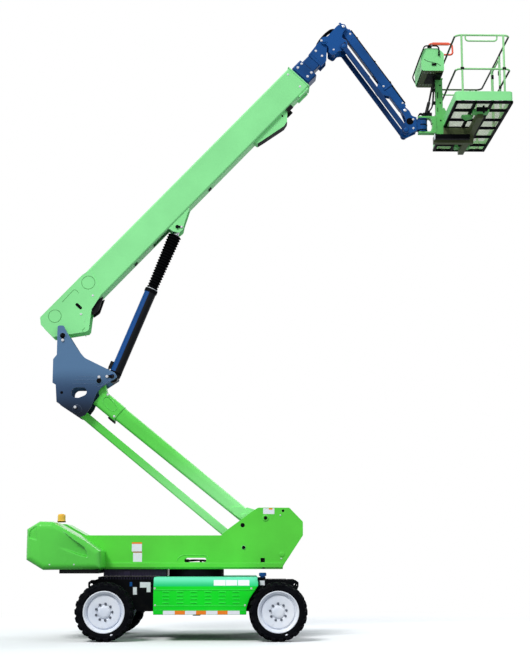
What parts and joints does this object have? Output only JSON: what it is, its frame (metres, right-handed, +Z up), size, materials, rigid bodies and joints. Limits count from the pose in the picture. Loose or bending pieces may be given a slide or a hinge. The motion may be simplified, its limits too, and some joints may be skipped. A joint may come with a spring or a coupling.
{
  "type": "articulating telescopic boom lift",
  "caption": "Battery boom lift: four wheels, turntable, riser, telescoping main boom and jib that carry a level work platform with guard rails.",
  "frame": {"origin": "on the floor, under the middle of the part's box", "axes": "+Z up, +X from the tail towards the platform's end, +Y to the left; the arm's middle plane is y = 0"},
  "size_m": [7.328, 2.49, 9.8309],
  "materials": {
    "black_frame": "satin black paint",
    "tyre_rubber": "moulded rubber",
    "white_rim": "silver-white gloss paint",
    "cover_green": "gloss paint",
    "body_green": "gloss paint",
    "cowl_green": "moulded glass-fibre, gloss",
    "iron_weight": "cast, painted",
    "battery_case": null,
    "amber_lens": "clear amber lens",
    "control_grey": "satin paint",
    "arm_green": "gloss paint",
    "knuckle_navy": "metallic paint",
    "arm_blue": "gloss paint",
    "cylinder_black": "satin paint",
    "chrome_rod": "ground hard chrome",
    "guard_orange": "gloss paint"
  },
  "bodies": {
    "chassis": {"chassis_frame": "black_frame", "axle_fixed": "black_frame", "axle_steered": "black_frame", "chassis_covers": "cover_green", "battery_packs": "battery_case", "slew_bearing": "black_frame", "steering_cylinder": "black_frame"},
    "wheel_fixed_left": {"tyre_fixed_left": "tyre_rubber", "rim_fixed_left": "white_rim"},
    "wheel_fixed_right": {"tyre_fixed_right": "tyre_rubber", "rim_fixed_right": "white_rim"},
    "knuckle_left": {"steering_knuckle_left": "black_frame"},
    "knuckle_right": {"steering_knuckle_right": "black_frame"},
    "wheel_steered_left": {"tyre_steered_left": "tyre_rubber", "rim_steered_left": "white_rim"},
    "wheel_steered_right": {"tyre_steered_right": "tyre_rubber", "rim_steered_right": "white_rim"},
    "steering_rod": {"steering_rod": "chrome_rod"},
    "turntable": {"turntable_base": "body_green", "turntable_sides": "body_green", "tail_cowls": "cowl_green", "counterweight": "iron_weight", "belly_box": "black_frame", "slew_drive": "black_frame", "beacon": "amber_lens", "ground_control_box": "control_grey"},
    "riser": {"riser": "arm_green"},
    "riser_tie_link": {"riser_tie_link": "body_green"},
    "riser_cylinder_barrels": {"riser_cylinder_barrels": "cylinder_black"},
    "riser_cylinder_rods": {"riser_cylinder_rods": "chrome_rod"},
    "knuckle": {"knuckle": "knuckle_navy"},
    "boom_outer": {"boom_outer": "arm_green"},
    "boom_middle": {"boom_middle": "arm_blue"},
    "boom_tip": {"boom_tip": "arm_blue"},
    "lift_cylinder_barrel": {"lift_cylinder_barrel": "arm_blue"},
    "lift_cylinder_rod": {"lift_cylinder_rod": "chrome_rod"},
    "jib_knuckle": {"jib_knuckle": "arm_blue"},
    "jib_upper_tube": {"jib_upper_tube": "arm_blue"},
    "jib_lower_links": {"jib_lower_links": "arm_blue"},
    "jib_cylinder_barrel": {"jib_cylinder_barrel": "cylinder_black"},
    "jib_cylinder_rod": {"jib_cylinder_rod": "chrome_rod"},
    "jib_end": {"jib_end_bracket": "arm_blue", "platform_rotator": "arm_blue"},
    "platform": {"platform_mast": "arm_green", "platform_beams": "arm_green", "platform_floor": "cylinder_black", "platform_toe_boards": "arm_green", "platform_guard_rails": "arm_green", "control_console": "arm_green", "console_guard": "black_frame", "anti_crush_bar": "guard_orange"},
    "platform_gate": {"platform_gate": "arm_green"}
  },
  "joints": [
    {"name": "wheel_fixed_left_spin", "type": "hinge", "parent": "chassis", "child": "wheel_fixed_left", "pos_m": [0.0175, 1.09, 0.42], "axis": [0, 1, 0], "continuous": true},
    {"name": "wheel_fixed_right_spin", "type": "hinge", "parent": "chassis", "child": "wheel_fixed_right", "pos_m": [0.0175, -1.09, 0.42], "axis": [0, 1, 0], "continuous": true},
    {"name": "steer_left", "type": "hinge", "parent": "chassis", "child": "knuckle_left", "pos_m": [-2.4825, 0.85, 0.42], "axis": [0, 0, 1], "range_deg": [-30, 30]},
    {"name": "steer_right", "type": "hinge", "parent": "chassis", "child": "knuckle_right", "pos_m": [-2.4825, -0.85, 0.42], "axis": [0, 0, 1], "range_deg": [-30, 30]},
    {"name": "wheel_steered_left_spin", "type": "hinge", "parent": "knuckle_left", "child": "wheel_steered_left", "pos_m": [-2.4825, 1.09, 0.42], "axis": [0, 1, 0], "continuous": true},
    {"name": "wheel_steered_right_spin", "type": "hinge", "parent": "knuckle_right", "child": "wheel_steered_right", "pos_m": [-2.4825, -1.09, 0.42], "axis": [0, 1, 0], "continuous": true},
    {"name": "steering_rod_slide", "type": "slide", "parent": "chassis", "child": "steering_rod", "axis": [0, 1, 0], "range_m": [-0.13, 0.13]},
    {"name": "turntable_slew", "type": "hinge", "parent": "chassis", "child": "turntable", "pos_m": [-1.2025, 0, 1.02], "axis": [0, 0, 1], "continuous": true},
    {"name": "riser_lift", "type": "hinge", "parent": "turntable", "child": "riser", "pos_m": [-0.1525, 0, 1.78], "axis": [0, 1, 0], "range_deg": [-41.3, 32]},
    {"name": "riser_tie_swing", "type": "hinge", "parent": "turntable", "child": "riser_tie_link", "pos_m": [-0.4825, 0, 1.34], "axis": [0, 1, 0], "range_deg": [-41.4, 32.1]},
    {"name": "riser_cylinder_swing", "type": "hinge", "parent": "turntable", "child": "riser_cylinder_barrels", "pos_m": [0.0925, 0, 1.24], "axis": [0, 1, 0], "range_deg": [-11.98, 9.35]},
    {"name": "riser_cylinder_stroke", "type": "slide", "parent": "riser_cylinder_barrels", "child": "riser_cylinder_rods", "axis": [-0.7072, 0, 0.707], "range_m": [-0.1649, 0.1284]},
    {"name": "knuckle_level", "type": "hinge", "parent": "riser", "child": "knuckle", "pos_m": [-2.73171, 0, 3.89106], "axis": [0, 1, 0], "range_deg": [-32.1, 41.4]},
    {"name": "main_boom_lift", "type": "hinge", "parent": "knuckle", "child": "boom_outer", "pos_m": [-3.31171, 0, 4.60106], "axis": [0, -1, 0], "range_deg": [-46.7, 26]},
    {"name": "boom_extend_middle", "type": "slide", "parent": "boom_outer", "child": "boom_middle", "axis": [0.6858, 0, 0.7278], "range_m": [0, 3.5]},
    {"name": "boom_extend_tip", "type": "slide", "parent": "boom_middle", "child": "boom_tip", "axis": [0.6858, 0, 0.7278], "range_m": [0, 3.5]},
    {"name": "lift_cylinder_swing", "type": "hinge", "parent": "knuckle", "child": "lift_cylinder_barrel", "pos_m": [-2.53171, 0, 3.96106], "axis": [0, -1, 0], "range_deg": [-44.38, 24.84]},
    {"name": "lift_cylinder_stroke", "type": "slide", "parent": "lift_cylinder_barrel", "child": "lift_cylinder_rod", "axis": [0.3766, 0, 0.9264], "range_m": [-0.7887, 0.4404]},
    {"name": "jib_knuckle_level", "type": "hinge", "parent": "boom_tip", "child": "jib_knuckle", "pos_m": [0.81189, 0, 9.50913], "axis": [0, -1, 0], "range_deg": [-26.1, 46.8]},
    {"name": "jib_lift", "type": "hinge", "parent": "jib_knuckle", "child": "jib_upper_tube", "pos_m": [1.12689, 0, 9.76913], "axis": [0, -1, 0], "range_deg": [-5, 115]},
    {"name": "jib_links_swing", "type": "hinge", "parent": "jib_knuckle", "child": "jib_lower_links", "pos_m": [1.12689, 0, 9.41413], "axis": [0, -1, 0], "range_deg": [-5.1, 115.1]},
    {"name": "jib_cylinder_swing", "type": "hinge", "parent": "jib_knuckle", "child": "jib_cylinder_barrel", "pos_m": [1.14889, 0, 9.47713], "axis": [0, -1, 0], "range_deg": [-5.4, 117.6]},
    {"name": "jib_cylinder_stroke", "type": "slide", "parent": "jib_cylinder_barrel", "child": "jib_cylinder_rod", "axis": [0.5834, 0, -0.8122], "range_m": [-0.0242, 0.4907]},
    {"name": "platform_level", "type": "hinge", "parent": "jib_upper_tube", "child": "jib_end", "pos_m": [2.12222, 0, 8.35291], "axis": [0, -1, 0], "range_deg": [-115.1, 5.1]},
    {"name": "platform_turn", "type": "hinge", "parent": "jib_end", "child": "platform", "pos_m": [2.41222, 0, 8.01791], "axis": [0, 0, 1], "range_deg": [-90, 90]},
    {"name": "gate_swing", "type": "hinge", "parent": "platform", "child": "platform_gate", "pos_m": [3.6235, 0.188, 9.13], "axis": [0, 0, -1], "range_deg": [0, 90]}
  ],
  "couplings": [
    {"joint": "steer_right", "follows": "steer_left", "ratio": 1},
    {"joint": "steering_rod_slide", "follows": "steer_left", "m_per_rad": 0.20053},
    {"joint": "riser_tie_swing", "follows": "riser_lift", "ratio": 1},
    {"joint": "knuckle_level", "follows": "riser_lift", "ratio": -1},
    {"joint": "riser_cylinder_swing", "follows": "riser_lift", "ratio": 0.28272},
    {"joint": "riser_cylinder_stroke", "follows": "riser_lift", "m_per_rad": 0.22454},
    {"joint": "boom_extend_tip", "follows": "boom_extend_middle", "ratio": 1},
    {"joint": "lift_cylinder_swing", "follows": "main_boom_lift", "ratio": 0.944},
    {"joint": "lift_cylinder_stroke", "follows": "main_boom_lift", "m_per_rad": 0.964},
    {"joint": "jib_knuckle_level", "follows": "main_boom_lift", "ratio": -1},
    {"joint": "jib_links_swing", "follows": "jib_lift", "ratio": 1},
    {"joint": "jib_cylinder_swing", "follows": "jib_lift", "ratio": 1.02},
    {"joint": "jib_cylinder_stroke", "follows": "jib_lift", "m_per_rad": 0.243},
    {"joint": "platform_level", "follows": "jib_lift", "ratio": -1}
  ]
}
